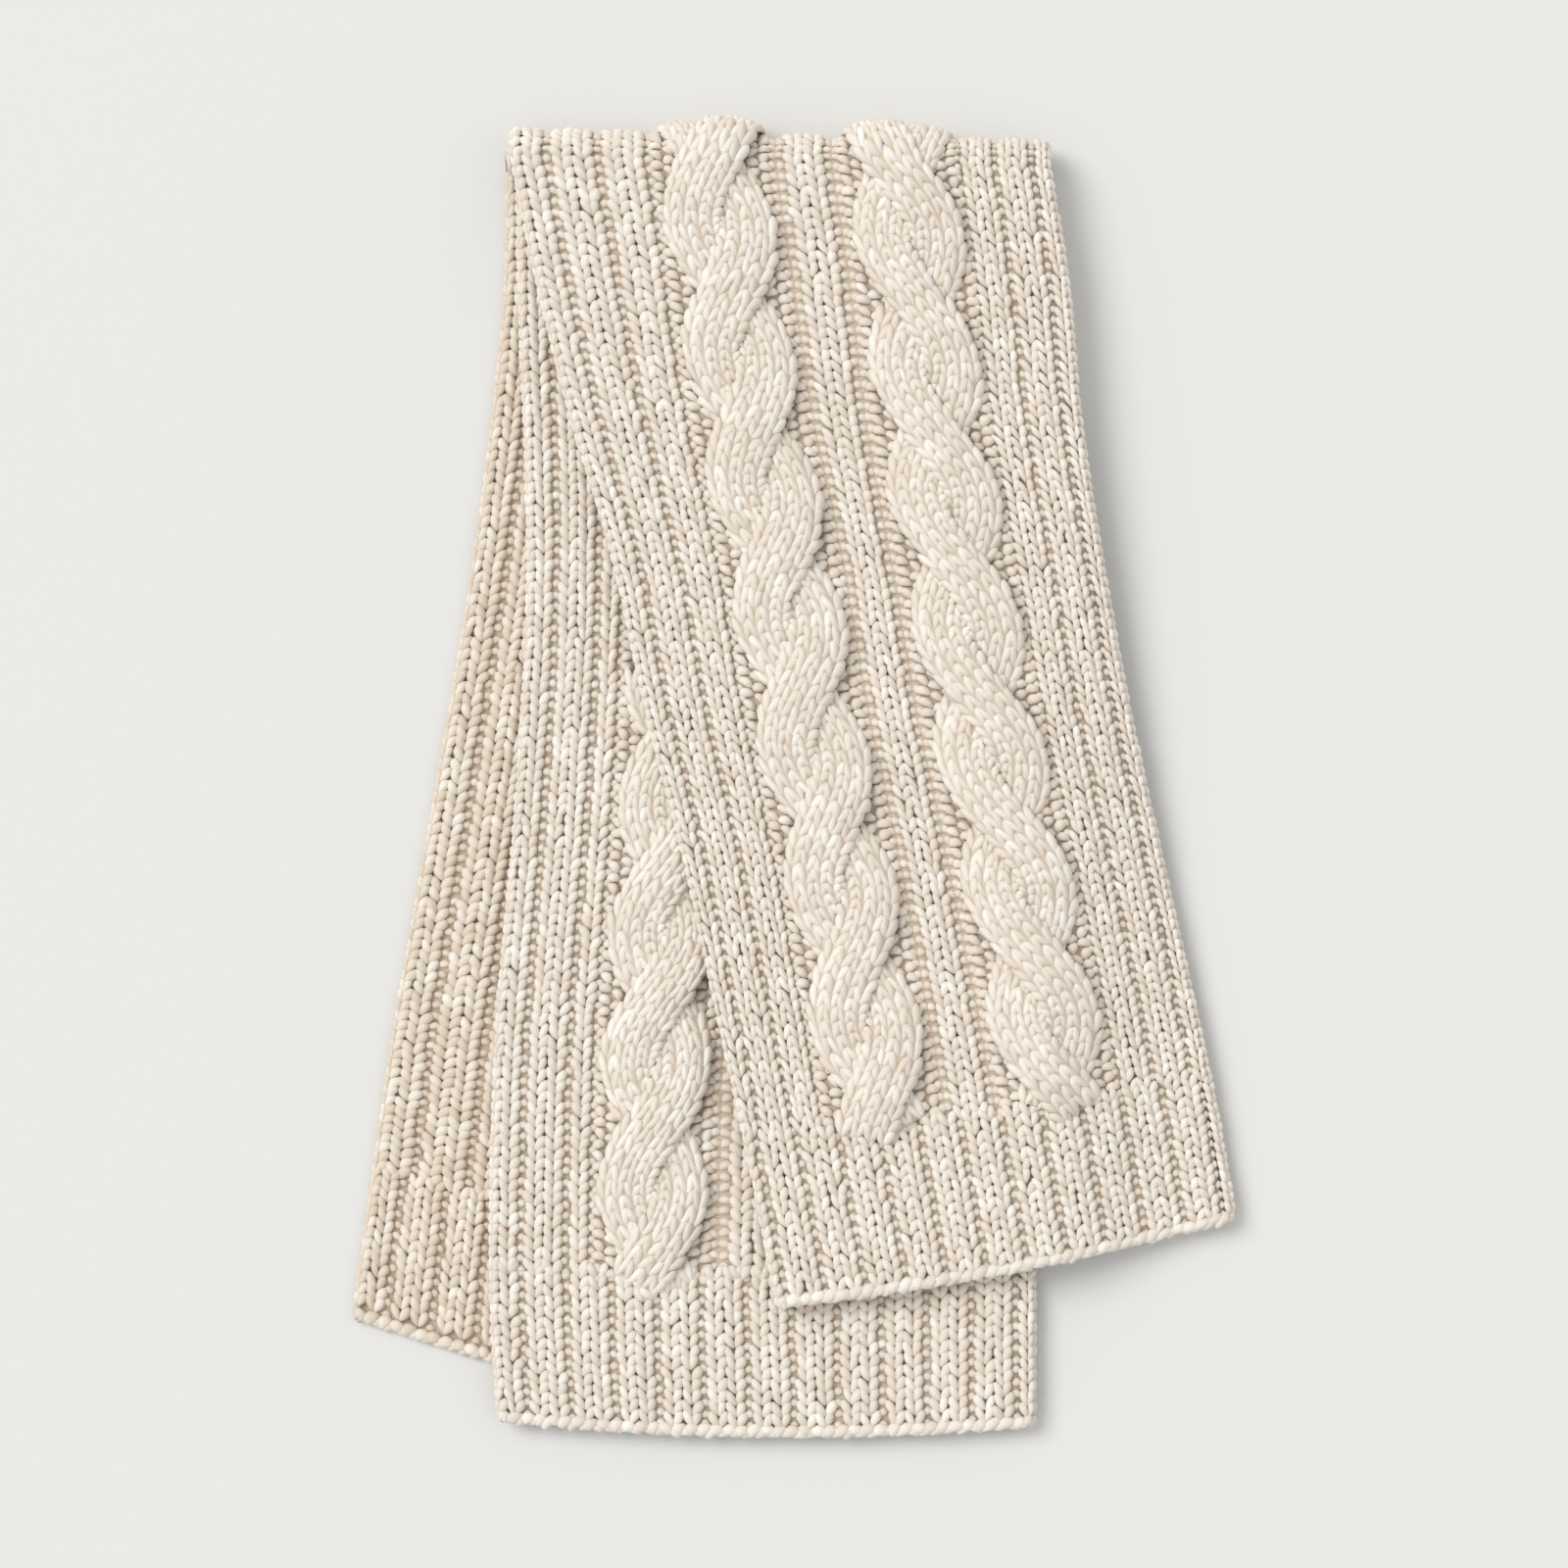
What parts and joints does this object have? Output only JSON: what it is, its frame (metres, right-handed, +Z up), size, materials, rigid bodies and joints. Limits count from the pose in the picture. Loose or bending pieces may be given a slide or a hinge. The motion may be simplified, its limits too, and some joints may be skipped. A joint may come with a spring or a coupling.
{
  "type": "knit scarf",
  "caption": "Chunky cable-knit scarf, folded lengthwise and across, laid flat with its ribbed ends fanned out.",
  "frame": {"origin": "middle of the bounding box, on the surface that the scarf lies on", "axes": "+Z up from the surface, +Y towards the crosswise fold, +X towards the lengthwise fold"},
  "size_m": [0.4516, 0.6688, 0.037],
  "materials": {
    "cream_knit": "matte chunky wool knit, cream",
    "oatmeal_knit": "matte chunky wool knit, oatmeal"
  },
  "bodies": {
    "root": {"front_tail": "cream_knit", "front_hem": "cream_knit", "front_cable_left": "cream_knit", "front_cable_right": "cream_knit", "front_inner": "oatmeal_knit", "middle_tail": "cream_knit", "middle_hem": "cream_knit", "middle_cable": "cream_knit", "under_tail": "oatmeal_knit", "under_hem": "oatmeal_knit"}
  },
  "joints": []
}
